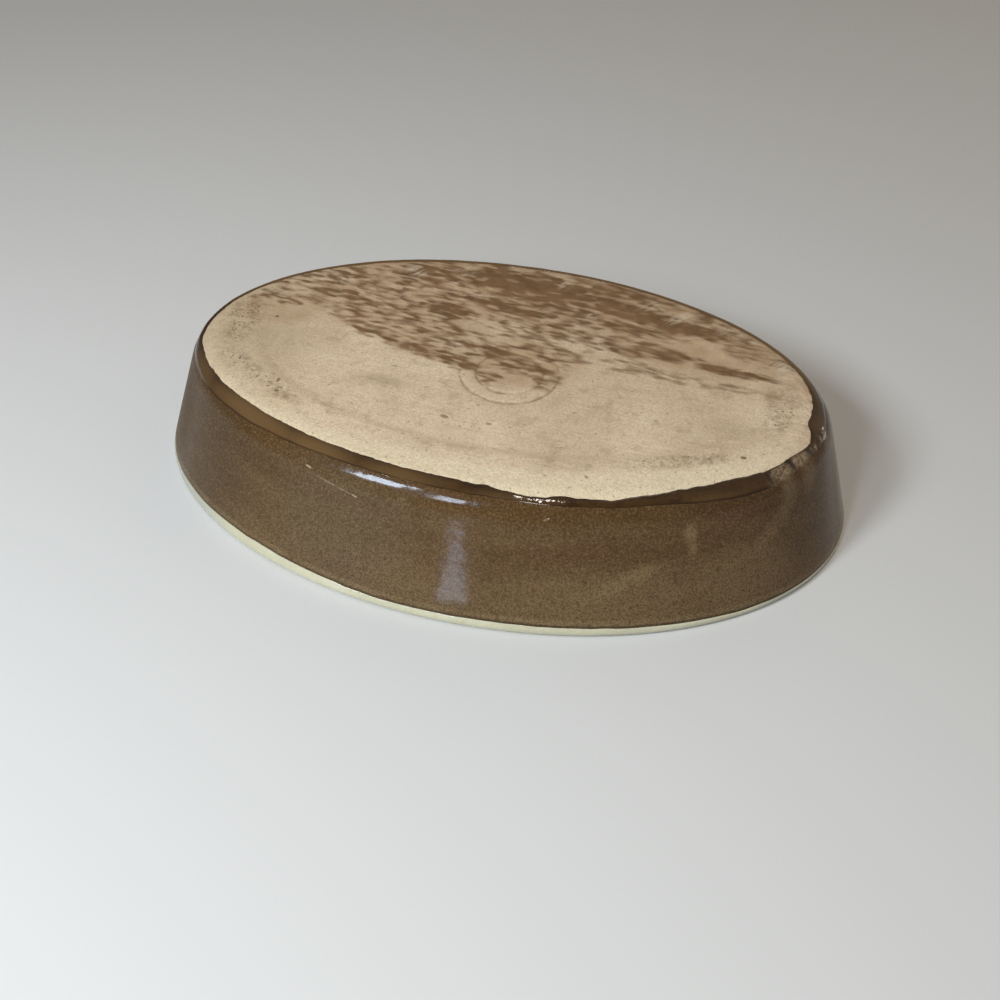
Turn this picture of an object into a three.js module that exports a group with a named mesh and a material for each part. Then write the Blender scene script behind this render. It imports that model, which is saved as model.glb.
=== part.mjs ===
// An oval stoneware oven dish: one clay body, glazed brown outside and cream inside, with a bare foot.
// The dish is drawn the right way up, foot at height 0, and stored upside down on its rim.
import * as THREE from "three";
import { mergeVertices } from "three/addons/utils/BufferGeometryUtils.js";

// Driving dimensions, in millimetres and degrees
const RIM_LENGTH = 300; // over the glazed lip
const RIM_WIDTH = 200; // over the glazed lip
const HEIGHT = 54; // from the foot to the crest of the glazed lip
const OUTER_FLARE_DEG = 18.3; // lean of the outside wall from upright
const INNER_FLARE_DEG = 20; // the inside leans more, so the wall thickens towards the floor
const LIP_THICKNESS = 5.6; // of the clay
const LIP_LAND = 1.2; // the flat along the crest of the lip, between its two rounds
const FLOOR_THICKNESS = 6.5; // of the clay, over the foot ring
const FOOT_RADIUS = 12.6; // rounds the outside wall into the foot
const COVE_RADIUS = 16; // rounds the inside wall into the floor
const FOOT_RING_WIDTH = 14; // the flat ring that the dish stands on
const BASE_RECESS = 0.8; // how far the middle of the base is hollowed
const RECESS_SLOPE = 7; // width of the slope from the foot ring into the hollow

// Glaze coats, in millimetres
const BROWN_COAT = 0.5; // on the outside wall
const CREAM_COAT = 0.5; // on the lip, the inside wall and the floor
const ROLL_COAT = 0.5; // the run of glaze round the foot, on top of the brown coat
const GLAZE_EDGE = 0.12; // thickness at the edge where a coat stops
const CREAM_LAP = 4.9; // how far the cream reaches down the outside, below the crest of the lip
const GLAZE_LINE = 4.6; // from the flat of the foot, round its corner, to where the glaze stops
const GLAZE_LINE_WANDER = 2.6; // how far the glaze line strays from that
const ROLL_WIDTH = 9.8; // from the flat of the foot to the far edge of the roll
const ROLL_WANDER = 2.2; // how far the roll's far edge strays from that

// Waves along the edges of the glaze: how many go round the dish, their share of the wander, where they start
const GLAZE_LINE_WAVES = [
  { count: 2, share: 0.32, start: 1.9 },
  { count: 3, share: 0.48, start: 4.8 },
  { count: 5, share: 0.2, start: 0.2 },
];
const ROLL_WAVES = [
  { count: 2, share: 0.55, start: 1.7 },
  { count: 3, share: 0.45, start: 5.8 },
];

// Fineness of the facets
const SEGMENTS = 64; // round the oval
const ROLL_STEPS = 6; // across the roll, from the glaze line to its far edge
const WALL_STEPS = 5; // up the outside wall, from the roll to the cream band
const WALL_STEP_GROWTH = 1.6; // the steps grow up the wall, because only its foot is curved
const LIP_STEPS = 3; // round each side of the lip
const INNER_STEPS = 4; // down the inside wall
const COVE_STEPS = 6; // round the cove

const CLAY = new THREE.MeshStandardMaterial({ color: 0xcdb894, roughness: 0.85, metalness: 0 });
const BROWN = new THREE.MeshStandardMaterial({ color: 0x5f4930, roughness: 0.25, metalness: 0 });
const DARK_BROWN = new THREE.MeshStandardMaterial({ color: 0x4a3218, roughness: 0.12, metalness: 0 });
const CREAM = new THREE.MeshStandardMaterial({ color: 0xd9d2b4, roughness: 0.2, metalness: 0 });

const { lerp, degToRad } = THREE.MathUtils;
const QUARTER_TURN = Math.PI / 2;
const outerFlare = degToRad(OUTER_FLARE_DEG);
const innerFlare = degToRad(INNER_FLARE_DEG);

// The section through the wall. A point is how far it lies out from the rim's outline, its height, and the
// direction that the clay faces there.
const lipRadius = (LIP_THICKNESS - LIP_LAND) / 2;
const outerLipCentre = { out: -(lipRadius + CREAM_COAT), up: HEIGHT - CREAM_COAT - lipRadius };
const innerLipCentre = { out: outerLipCentre.out - LIP_LAND, up: outerLipCentre.up };

function along(point, facing, distance) {
  return { out: point.out + facing.out * distance, up: point.up + facing.up * distance };
}

// A point of a round, facing along the angle. A hollow round has a negative radius.
function roundPoint(centre, radius, angle) {
  const facing = { out: Math.cos(angle), up: Math.sin(angle) };
  return { ...along(centre, facing, radius), facing };
}

// The lip's outer round, from 0 at the outside wall to 1 at the crest.
function outerLip(share) {
  return roundPoint(outerLipCentre, lipRadius, lerp(-outerFlare, QUARTER_TURN, share));
}

// The lip's inner round, from 0 at the crest to 1 at the inside wall.
function innerLip(share) {
  return roundPoint(innerLipCentre, lipRadius, lerp(QUARTER_TURN, Math.PI - innerFlare, share));
}

const outerWallTop = outerLip(0);
const innerWallTop = innerLip(1);

// The foot's corner touches the foot's plane and the outside wall.
const footCentreOut =
  outerWallTop.out -
  (FOOT_RADIUS + Math.sin(outerFlare) * (outerWallTop.up - FOOT_RADIUS)) / Math.cos(outerFlare);
const cornerLength = FOOT_RADIUS * (QUARTER_TURN - outerFlare);

// The outside, by the distance from the edge of the foot's flat: round the corner, then up the wall.
function outside(distance) {
  const turn = Math.min(distance, cornerLength) / FOOT_RADIUS;
  const onCorner = roundPoint({ out: footCentreOut, up: FOOT_RADIUS }, FOOT_RADIUS, turn - QUARTER_TURN);
  const rise = Math.max(distance - cornerLength, 0);
  const wallUp = { out: Math.sin(outerFlare), up: Math.cos(outerFlare) };
  return { ...onCorner, ...along(onCorner, wallUp, rise) };
}

// The distance at which the cream coat laps over the brown one.
const lapDistance =
  cornerLength + (HEIGHT - CREAM_LAP - outside(cornerLength).up) / Math.cos(outerFlare);

// The underside, by the distance in from the edge of the foot's flat.
function underside(inwards, up) {
  return { out: footCentreOut - inwards, up, facing: { out: 0, up: -1 } };
}

// The cove touches the inside floor and the inside wall. It goes from 0 at the wall to 1 at the floor.
const coveCentreUp = FLOOR_THICKNESS + COVE_RADIUS;
const coveCentreOut =
  innerWallTop.out -
  (COVE_RADIUS + Math.sin(innerFlare) * (innerWallTop.up - coveCentreUp)) / Math.cos(innerFlare);

function cove(share) {
  const angle = lerp(Math.PI - innerFlare, QUARTER_TURN, share);
  return roundPoint({ out: coveCentreOut, up: coveCentreUp }, -COVE_RADIUS, angle);
}

// The inside wall, from 0 at the lip to 1 at the cove.
function inside(share) {
  const coveTop = cove(0);
  return {
    out: lerp(innerWallTop.out, coveTop.out, share),
    up: lerp(innerWallTop.up, coveTop.up, share),
    facing: innerWallTop.facing,
  };
}

// Glaze runs before it sets, so its edges wander round the dish.
function wander(waves, angle) {
  return waves.reduce((sum, { count, share, start }) => sum + share * Math.sin(count * angle + start), 0);
}

function glazeLine(angle) {
  return GLAZE_LINE + GLAZE_LINE_WANDER * wander(GLAZE_LINE_WAVES, angle);
}

function rollEdge(angle) {
  return ROLL_WIDTH + ROLL_WANDER * wander(ROLL_WAVES, angle);
}

// A ring is a line of the clay's surface right round the dish. It gives its point of the section at each angle.
const fixed = (point) => () => point;

// Rings in even steps from share 0, stopping short of share 1, where the next stretch begins.
function stretch(count, pointAt) {
  return Array.from({ length: count }, (unused, i) => (angle) => pointAt(i / count, angle));
}

const baseRings = [
  fixed(underside(FOOT_RING_WIDTH + RECESS_SLOPE, BASE_RECESS)),
  fixed(underside(FOOT_RING_WIDTH, 0)),
  fixed(underside(0, 0)),
];
const rollRings = stretch(ROLL_STEPS, (share, angle) => outside(lerp(glazeLine(angle), rollEdge(angle), share)));
const wallRings = stretch(WALL_STEPS, (share, angle) =>
  outside(lerp(rollEdge(angle), lapDistance, share ** WALL_STEP_GROWTH)),
);
const lapRing = fixed(outside(lapDistance));
const lipRings = [...stretch(LIP_STEPS, outerLip), fixed(outerLip(1)), ...stretch(LIP_STEPS, innerLip)];
const liningRings = [...stretch(INNER_STEPS, inside), ...stretch(COVE_STEPS, cove), fixed(cove(1))];

const footRings = [...rollRings, wallRings[0]];
const brownRings = [...rollRings, ...wallRings, lapRing];
const rimRings = [lapRing, ...lipRings, liningRings[0]];

// A place in the dish: a point of the section, lifted off the clay, at an angle round the oval.
function place(point, lift, angle) {
  const { out, up } = along(point, point.facing, lift);
  const halfLength = RIM_LENGTH / 2 + out;
  const halfWidth = RIM_WIDTH / 2 + out;
  return new THREE.Vector3(halfLength * Math.cos(angle), halfWidth * Math.sin(angle), up);
}

function ringPoints(ring, lift) {
  return Array.from({ length: SEGMENTS }, (unused, i) => {
    const angle = (2 * Math.PI * i) / SEGMENTS;
    return place(ring(angle), lift, angle);
  });
}

// The triangles of a surface through rings of vertices. Reversing the list turns its faces round, so two pieces
// that lie against each other share the same triangles.
function skin(rings) {
  const triangles = [];
  for (let r = 0; r + 1 < rings.length; r++) {
    const near = rings[r];
    const far = rings[r + 1];
    for (let i = 0; i < SEGMENTS; i++) {
      const next = (i + 1) % SEGMENTS;
      triangles.push(near[i], near[next], far[i], near[next], far[next], far[i]);
    }
  }
  return triangles;
}

// A flat fan from the middle of a level ring.
function cap(ring) {
  const middle = new THREE.Vector3(0, 0, ring[0].z);
  return ring.flatMap((point, i) => [point, ring[(i + 1) % SEGMENTS], middle]);
}

// A coat of glaze over some rings, with a thickness at each. Its seat lies on the clay, or on the coat below it.
function coat(rings, thickness, below = rings.map(() => 0)) {
  const seat = rings.map((ring, r) => ringPoints(ring, below[r]));
  const face = rings.map((ring, r) => ringPoints(ring, below[r] + thickness[r]));
  return { seat, face };
}

// The edge of a coat, from its face down to its seat.
function edge({ seat, face }, index) {
  return skin([face.at(index), seat.at(index)]);
}

// A coat that goes round the dish as a band, with an edge on either side.
function band(layer) {
  return [...skin(layer.face), ...skin(layer.seat).reverse(), ...edge(layer, -1), ...edge(layer, 0).reverse()];
}

// A coat that covers the floor too, with one edge.
function lining(layer) {
  const top = [...skin(layer.face), ...cap(layer.face.at(-1))];
  const bottom = [...skin(layer.seat), ...cap(layer.seat.at(-1))];
  return [...top, ...bottom.reverse(), ...edge(layer, 0).reverse()];
}

function named(name, triangles, material) {
  const geometry = mergeVertices(new THREE.BufferGeometry().setFromPoints(triangles));
  geometry.computeVertexNormals();
  const mesh = new THREE.Mesh(geometry, material);
  mesh.name = name;
  return mesh;
}

// The clay body, from the middle of its base, round the outside and the lip, to the middle of its floor.
const clay = [...baseRings, ...brownRings, ...lipRings, ...liningRings].map((ring) => ringPoints(ring, 0));
const body = [...cap(clay[0]).reverse(), ...skin(clay), ...cap(clay.at(-1))];

// Each coat thins out where it stops. The roll is a bead, thick in the middle.
const acrossRoll = footRings.map((ring, r) => r / ROLL_STEPS);
const brownUnderRoll = acrossRoll.map((share) => lerp(GLAZE_EDGE, BROWN_COAT, share));
const rollThickness = acrossRoll.map((share) => lerp(GLAZE_EDGE, ROLL_COAT, Math.sin(Math.PI * share)));
const brownThickness = [...brownUnderRoll, ...wallRings.slice(1).map(() => BROWN_COAT), GLAZE_EDGE];
const rimThickness = [GLAZE_EDGE, ...rimRings.slice(1).map(() => CREAM_COAT)];
const liningThickness = liningRings.map(() => CREAM_COAT);

const brownCoat = coat(brownRings, brownThickness);
const rollCoat = coat(footRings, rollThickness, brownUnderRoll);
const rimCoat = coat(rimRings, rimThickness);
const liningCoat = coat(liningRings, liningThickness);

const dish = new THREE.Group();
dish.add(
  named("stoneware_body", body, CLAY),
  named("brown_wall_glaze", band(brownCoat), BROWN),
  named("foot_glaze_roll", band(rollCoat), DARK_BROWN),
  named("cream_rim_glaze", band(rimCoat), CREAM),
  named("cream_lining_glaze", lining(liningCoat), CREAM),
);

// Turned over about its long axis, so that it stands on the crest of its lip at height 0.
dish.rotation.x = Math.PI;
dish.position.z = HEIGHT;

const storedDish = new THREE.Group();
storedDish.add(dish);

export default storedDish;
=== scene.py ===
"""An oval stoneware oven dish, stored upside down on its rim: bare clay base, brown glazed wall, cream rim.

The five pieces are modelled again from the section of the solids, with finer rings. Lengths are in
millimetres until a mesh is made. Angles go round the dish from +X towards +Y, so the near side is at 270.
Distances are along the outside of the clay from the edge of the foot's flat, towards the rim.
"""
import math

import bmesh
import bpy
import numpy as np
from mathutils import Matrix, Vector, noise


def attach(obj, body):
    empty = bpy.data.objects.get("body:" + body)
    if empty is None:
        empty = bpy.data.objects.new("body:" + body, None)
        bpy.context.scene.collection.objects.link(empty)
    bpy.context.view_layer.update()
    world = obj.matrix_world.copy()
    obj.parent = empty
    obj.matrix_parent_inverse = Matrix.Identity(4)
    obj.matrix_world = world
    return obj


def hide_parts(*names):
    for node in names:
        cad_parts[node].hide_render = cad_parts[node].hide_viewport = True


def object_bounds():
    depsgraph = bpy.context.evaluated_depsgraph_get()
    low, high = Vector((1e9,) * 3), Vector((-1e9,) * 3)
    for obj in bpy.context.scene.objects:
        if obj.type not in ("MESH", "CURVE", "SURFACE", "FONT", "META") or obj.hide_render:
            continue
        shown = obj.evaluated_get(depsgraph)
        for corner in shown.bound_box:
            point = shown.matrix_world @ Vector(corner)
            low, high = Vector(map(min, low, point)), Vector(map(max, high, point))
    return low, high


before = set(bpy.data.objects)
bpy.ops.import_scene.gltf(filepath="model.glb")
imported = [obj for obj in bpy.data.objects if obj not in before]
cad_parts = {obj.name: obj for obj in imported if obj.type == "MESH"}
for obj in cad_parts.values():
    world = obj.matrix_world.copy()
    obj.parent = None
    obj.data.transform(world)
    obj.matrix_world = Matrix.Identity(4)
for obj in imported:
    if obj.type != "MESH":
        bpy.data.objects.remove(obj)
cad_low, cad_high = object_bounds()

MM = 0.001
QUARTER_TURN = math.pi / 2

# The dish's section, as in the solids
HALF_LENGTH = (cad_high.x - cad_low.x) / 2 / MM
HALF_WIDTH = (cad_high.y - cad_low.y) / 2 / MM
HEIGHT = (cad_high.z - cad_low.z) / MM
OUTER_FLARE = math.radians(18.3)
INNER_FLARE = math.radians(20)
LIP_RADIUS = 2.2
LIP_LAND = 1.2
FLOOR_THICKNESS = 6.5
FOOT_RADIUS = 12.6
COVE_RADIUS = 16
FOOT_RING_WIDTH = 14
BASE_RECESS = 0.8
RECESS_SLOPE = 7
COAT = 0.5  # thickness of the brown and the cream glaze
THIN_EDGE = 0.12  # thickness of a coat where it stops
SUNK = 0.03  # how far a coat's seat lies in the clay, so that no light gets between them
CREAM_LAP = 4.9  # how far the cream reaches over the outside from the crest of the lip, in height

# The roll of thick glaze round the foot
ROLL_TUCK = 2.0  # how far the brown coat goes in under the roll
EDGE_DIP = 0.03  # how far the roll's far edge dips into the brown coat
FOOT_CLEARANCE = 0.06  # the glaze stays this far off the plane that the foot stands on

# Where the glaze stops on the foot's corner, as (angle, distance)
GLAZE_LINE_MARKS = [
    (0, 2.5), (10, 4), (30, 4.6), (55, 3.8), (80, 4.5), (105, 3.9), (130, 4.4), (155, 4.8), (172, 7.5),
    (188, 9), (195, 7.2), (200, 6.5), (210, 5), (220, 3.7), (230, 2.7), (240, 2.3), (250, 2),
    (260, 2.3), (270, 2.5), (275, 3), (280, 5), (284, 6), (287, 4.5), (290, 5), (296, 6), (300, 5),
    (310, 3.5), (320, 3.2), (330, 5), (340, 5), (347, 6.5), (351, 4.5), (355, 1.5),
]
# The far edge of the roll
ROLL_EDGE_MARKS = [
    (0, 9.6), (30, 9), (60, 9.8), (95, 9.1), (130, 9.7), (160, 10.6), (180, 12.6), (195, 12.5),
    (205, 11.8), (215, 11), (225, 10.2), (235, 9), (245, 8), (255, 7.6), (265, 7.8), (275, 8),
    (285, 8.5), (295, 9.3), (305, 8.8), (312, 10), (320, 11.3), (328, 11.6), (340, 10.5),
]

# How high the roll stands over the brown coat
ROLL_HEIGHT_MARKS = [
    (0, 0.35), (60, 0.3), (120, 0.36), (180, 0.4), (210, 0.3), (235, 0.16), (250, 0.06), (272, 0.06),
    (290, 0.08), (298, 0.36), (325, 0.36), (331, 0.08), (344, 0.08), (350, 0.3),
]
# Where the cream laps over the brown
LAP_MARKS = [
    (0, 60.2), (30, 59.2), (60, 58.4), (120, 58.5), (180, 59.4), (200, 59.1), (207, 58.6), (214, 57.9),
    (225, 57.2), (240, 56.8), (250, 57.6), (260, 58.7), (275, 58.3), (300, 58.8), (310, 59.4),
    (321, 59.9), (330, 60.1), (345, 60.5),
]

# Fineness of the meshes
SIDE_CELLS = 180  # along each side of the square grid that fills the base and the floor
SEGMENTS = 4 * SIDE_CELLS  # round the dish
FINE_ANGLES = 720  # steps round the dish in which a line of marks is rounded off

# Noise in the meshes
OCTAVE_FALL = 1.0  # how fast its finer octaves get weaker
OCTAVE_STEP = 2.0  # how much finer each octave is than the one before


def smooth(value):
    """Goes from 0 to 1 as the value does, and levels off at both ends."""
    value = np.clip(value, 0, 1)
    return value * value * (3 - 2 * value)


def rough(points, size, octaves=2):
    """Smooth noise, about -1 to 1, with features of the given size, at points in a last axis of three."""
    places = (points / np.asarray(size, float)).reshape(-1, 3)
    values = [noise.fractal(Vector(place), OCTAVE_FALL, OCTAVE_STEP, octaves) for place in places.tolist()]
    return np.array(values).reshape(points.shape[:-1])


def relief(points, waves):
    """Unevenness made of several kinds of waves, each given as (height, size)."""
    return sum(height * rough(points, size) for height, size in waves)


# A square grid drawn onto the unit disc. Its edge, walked round once, gives the angles of every ring.
steps = np.linspace(-1, 1, SIDE_CELLS + 1)
grid_x, grid_y = np.meshgrid(steps, steps, indexing="ij")
DISC_X = grid_x * np.sqrt(1 - grid_y**2 / 2)
DISC_Y = grid_y * np.sqrt(1 - grid_x**2 / 2)
GRID_NUMBERS = np.arange((SIDE_CELLS + 1) ** 2).reshape(SIDE_CELLS + 1, SIDE_CELLS + 1)
GRID_EDGE = np.concatenate(
    [GRID_NUMBERS[:-1, 0], GRID_NUMBERS[-1, :-1], GRID_NUMBERS[:0:-1, -1], GRID_NUMBERS[0, :0:-1]]
)
COS = DISC_X.ravel()[GRID_EDGE]
SIN = DISC_Y.ravel()[GRID_EDGE]
DEGREES = np.degrees(np.arctan2(SIN, COS)) % 360
MM_PER_DEGREE = np.radians(np.hypot(HALF_LENGTH * SIN, HALF_WIDTH * COS))


def round_the_dish(marks, blur):
    """A value at every angle, from (angle, value) marks. Blur is how many fine steps round the line off."""
    angles, values = np.array(marks, float).T
    fine = np.arange(FINE_ANGLES) * 360 / FINE_ANGLES
    window = np.hanning(2 * blur + 3)[1:-1]
    line = np.interp(fine, angles, values, period=360)
    padded = np.concatenate([line[-blur:], line, line[:blur]])
    return np.interp(DEGREES, fine, np.convolve(padded, window / window.sum(), "valid"), period=360)


def degrees_from(angle):
    """How far each angle of a ring lies from one angle, the short way round."""
    return (DEGREES - angle + 180) % 360 - 180


# The stretches of the section. Each gives points (out from the rim's outline, up from the foot) and the
# direction that the clay faces there.
LIP_UP = HEIGHT - COAT - LIP_RADIUS
OUTER_LIP_OUT = -(LIP_RADIUS + COAT)
INNER_LIP_OUT = OUTER_LIP_OUT - LIP_LAND


def round_points(out, up, radius, angle):
    facing = np.array([np.cos(angle), np.sin(angle)])
    centre = np.array([out, up]).reshape(2, *[1] * np.ndim(angle))
    return centre + radius * facing, facing


def outer_lip(share):
    turn = QUARTER_TURN + OUTER_FLARE
    return round_points(OUTER_LIP_OUT, LIP_UP, LIP_RADIUS, turn * share - OUTER_FLARE)


def inner_lip(share):
    turn = QUARTER_TURN - INNER_FLARE
    return round_points(INNER_LIP_OUT, LIP_UP, LIP_RADIUS, QUARTER_TURN + turn * share)


WALL_TOP = outer_lip(0.0)[0]
INNER_TOP = inner_lip(1.0)[0]
FOOT_OUT = WALL_TOP[0] - (
    FOOT_RADIUS + math.sin(OUTER_FLARE) * (WALL_TOP[1] - FOOT_RADIUS)
) / math.cos(OUTER_FLARE)
CORNER_LENGTH = FOOT_RADIUS * (QUARTER_TURN - OUTER_FLARE)
COVE_UP = FLOOR_THICKNESS + COVE_RADIUS
COVE_OUT = INNER_TOP[0] - (
    COVE_RADIUS + math.sin(INNER_FLARE) * (INNER_TOP[1] - COVE_UP)
) / math.cos(INNER_FLARE)


def outside(distance):
    """The outside of the clay: round the foot's corner, then up the wall."""
    turn = np.minimum(distance, CORNER_LENGTH) / FOOT_RADIUS - QUARTER_TURN
    points, facing = round_points(FOOT_OUT, FOOT_RADIUS, FOOT_RADIUS, turn)
    rise = np.maximum(distance - CORNER_LENGTH, 0)
    return points + np.array([math.sin(OUTER_FLARE) * rise, math.cos(OUTER_FLARE) * rise]), facing


def underside(inwards):
    """The base, by the distance in from the edge of the foot's flat."""
    up = BASE_RECESS * smooth((inwards - FOOT_RING_WIDTH) / RECESS_SLOPE)
    facing = np.array([np.zeros_like(inwards), -np.ones_like(inwards)])
    return np.array([FOOT_OUT - inwards, up]), facing


def cove(share):
    """The round between the inside wall, at 0, and the inside floor, at 1."""
    angle = math.pi - INNER_FLARE + (INNER_FLARE - QUARTER_TURN) * share
    return round_points(COVE_OUT, COVE_UP, -COVE_RADIUS, angle)


def inside(share):
    """The inside wall, from the lip, at 0, to the cove, at 1."""
    bottom, facing = cove(np.zeros_like(share))
    top = INNER_TOP.reshape(2, *[1] * share.ndim)
    return top + (bottom - top) * share, facing


LAP = CORNER_LENGTH + (HEIGHT - CREAM_LAP - outside(CORNER_LENGTH)[0][1]) / math.cos(OUTER_FLARE)


def rings(section, rows, lift=0.0):
    """Rings of points over a stretch of the section, as rows by angles by three, lifted off the clay."""
    points, facing = section(np.broadcast_to(rows, (len(rows), SEGMENTS)))
    out, up = points + facing * lift
    return np.stack([(HALF_LENGTH + out) * COS, (HALF_WIDTH + out) * SIN, HEIGHT - up], -1)


def shares(count, first=0.0, last=1.0):
    """Even steps as a column, one row for each ring."""
    return np.linspace(first, last, count).reshape(-1, 1)


def disc(out, level):
    """The square grid, laid level over the oval that the section has at one point."""
    x = (HALF_LENGTH + out) * DISC_X
    y = (HALF_WIDTH + out) * DISC_Y
    return np.stack([x, y, np.full_like(DISC_X, level)], -1)


def wall_place(angle, distance):
    """A point of the glazed outside, with the directions along the wall, up the wall and out of it."""
    points, facing = outside(np.float64(distance))
    out, up = points + facing * COAT
    turn = math.radians(angle)
    half_length = HALF_LENGTH + out
    half_width = HALF_WIDTH + out
    place = Vector((half_length * math.cos(turn), half_width * math.sin(turn), HEIGHT - up))
    along = Vector((-half_length * math.sin(turn), half_width * math.cos(turn), 0)).normalized()
    level = Vector((along.y, -along.x, 0))
    normal = level * facing[0] - Vector((0, 0, facing[1]))
    return place, along, normal.cross(along), normal


# Meshes
def ring_faces(numbers):
    """Quads between neighbouring rings, given as rows of vertex numbers."""
    near, far = numbers[:-1], numbers[1:]
    corners = [near, np.roll(near, -1, 1), np.roll(far, -1, 1), far]
    return np.stack(corners, -1).reshape(-1, 4).tolist()


def make_piece(name, vertices, faces, reach, node):
    """A smooth closed mesh that stands for a node. Reach is each vertex's distance from the foot's flat."""
    mesh = bpy.data.meshes.new(name)
    mesh.from_pydata((vertices * MM).tolist(), [], faces)
    tidy = bmesh.new()
    tidy.from_mesh(mesh)
    bmesh.ops.recalc_face_normals(tidy, faces=tidy.faces)
    tidy.to_mesh(mesh)
    tidy.free()
    mesh.polygons.foreach_set("use_smooth", [True] * len(mesh.polygons))
    mesh.attributes.new("reach", "FLOAT", "POINT").data.foreach_set("value", reach)
    piece = bpy.data.objects.new(name, mesh)
    bpy.context.collection.objects.link(piece)
    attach(piece, "root")
    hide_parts(node)
    return piece


def make_band(name, face, seat, reach, node):
    """A coat that goes round the dish: its face, and back along its seat."""
    loop = np.concatenate([face, seat[::-1]])
    numbers = np.arange(len(loop) * SEGMENTS).reshape(len(loop), SEGMENTS)
    faces = ring_faces(np.concatenate([numbers, numbers[:1]]))
    seat_reach = np.repeat(reach[-1:], len(seat), 0)
    all_reach = np.concatenate([reach, seat_reach]).ravel()
    return make_piece(name, loop.reshape(-1, 3), faces, all_reach, node)


def make_capped(name, grid, layers, reach, node):
    """A solid from a grid, out over rings that start at the grid's edge, and in to a flat hidden fan."""
    first = GRID_NUMBERS.size
    middle = first + layers.shape[0] * SEGMENTS
    numbers = np.concatenate([GRID_EDGE.reshape(1, -1), np.arange(first, middle).reshape(-1, SEGMENTS)])
    last = numbers[-1]
    corners = [GRID_NUMBERS[:-1, :-1], GRID_NUMBERS[1:, :-1], GRID_NUMBERS[1:, 1:], GRID_NUMBERS[:-1, 1:]]
    faces = np.stack(corners, -1).reshape(-1, 4).tolist()
    faces += ring_faces(numbers)
    faces += [(near, far, middle) for near, far in zip(last.tolist(), np.roll(last, -1).tolist())]
    vertices = np.concatenate([grid.reshape(-1, 3), layers.reshape(-1, 3), [[0, 0, layers[-1, 0, 2]]]])
    grid_reach = np.full(first, reach[0].min())
    all_reach = np.concatenate([grid_reach, reach.ravel(), [reach[-1, 0]]])
    return make_piece(name, vertices, faces, all_reach, node)


# The bare base
BASE_WAVES = [(0.12, 38), (0.07, (14, 3, 14))]  # slow ones, and streaks where the clay was wiped
CRUMBLE = 0.16  # unevenness of the foot's corner
CRUMB_SIZE = 3.2
CRUMB_TOP = 0.25  # the noise is cut off here: crumbs of clay are lost, and hardly any stand proud
BROKEN_EDGE = 0.5  # the rougher patch at the right end
BROKEN_FROM = 104  # where along the dish that patch starts
BROKEN_FADE = 8  # the length over which it grows to its full roughness
BROKEN_HALF_WIDTH = 30
MARK_CENTRE = (3, -5)  # of the plain rings pressed into the base
MARK_RADII = (20.5, 14)
MARK_WIDTH = 0.9
MARK_DEPTH = 0.5
MARK_LEFT = 0.75  # about how much of the rings is left on the whole
MARK_WEAR_SIZE = 11  # of the places where they are worn away
MARK_STAIN = 1.1  # half width of the brown in the rings


def base_relief(points):
    """How far the base stands proud of its plain form, in millimetres."""
    x, y = points[..., 0], points[..., 1]
    height = relief(points, BASE_WAVES)
    left = smooth(MARK_LEFT + rough(points, MARK_WEAR_SIZE))
    from_centre = np.hypot(x - MARK_CENTRE[0], y - MARK_CENTRE[1])
    for radius in MARK_RADII:
        groove = np.exp(-(((from_centre - radius) / MARK_WIDTH) ** 2))
        height = height - MARK_DEPTH * left * groove
    return height


def corner_relief(points):
    """The crumbly clay of the foot's corner, roughest at the right end."""
    right_end = smooth((points[..., 0] - BROKEN_FROM) / BROKEN_FADE)
    broken = right_end * smooth(1 - np.abs(points[..., 1]) / BROKEN_HALF_WIDTH)
    crumbs = np.minimum(rough(points, CRUMB_SIZE, octaves=3), CRUMB_TOP)
    return (CRUMBLE + BROKEN_EDGE * broken) * crumbs


# The edges of the glazes
RIPPLE_ROW = 2.0  # the distance at which their ripples are read


def edge(marks, blur, ripple, size, octaves=2, shift=0):
    """An edge that goes round the dish: the line of its marks, with fine ripples."""
    row = rings(outside, np.full((1, 1), RIPPLE_ROW))[0]
    return round_the_dish(marks, blur) + ripple * rough(row + shift, size, octaves)


glaze_line = edge(GLAZE_LINE_MARKS, blur=3, ripple=0.45, size=4.5, octaves=3)
roll_edge = edge(ROLL_EDGE_MARKS, blur=6, ripple=0.35, size=9, shift=50)
lap_line = edge(LAP_MARKS, blur=8, ripple=0.25, size=9, shift=90)


def build_body():
    """The clay: base, foot's corner, and the plain surfaces under the glazes."""
    inwards = shares(34, FOOT_RING_WIDTH + RECESS_SLOPE, 0)
    flat = rings(underside, inwards)
    grid = disc(FOOT_OUT - FOOT_RING_WIDTH - RECESS_SLOPE, HEIGHT - BASE_RECESS)
    grid[..., 2] += base_relief(grid)
    ring_share = smooth(1 - inwards / FOOT_RING_WIDTH)
    flat[..., 2] += base_relief(flat) * (1 - ring_share) + np.minimum(corner_relief(flat), 0) * ring_share

    bare = shares(16)[1:] * (glaze_line + ROLL_TUCK)
    under_roll = 1 - smooth((bare - glaze_line) / ROLL_TUCK)
    corner = rings(outside, bare, corner_relief(rings(outside, bare)) * under_roll)
    covered = bare[-1] + (lap_line - bare[-1]) * shares(11)[1:]
    wall = rings(outside, covered)
    layers = [flat[1:], corner, wall]
    layers += [rings(outer_lip, shares(4)), rings(inner_lip, shares(4))]
    layers += [rings(inside, shares(5)[1:]), rings(cove, shares(7)[1:])]
    reach = [np.broadcast_to(-inwards[1:], flat[1:].shape[:2]), bare, covered]
    reach += [np.full(layer.shape[:2], LAP) for layer in layers[3:]]
    return make_capped(
        "clay_body", grid, np.concatenate(layers), np.concatenate(reach), "stoneware_body"
    )


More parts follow.
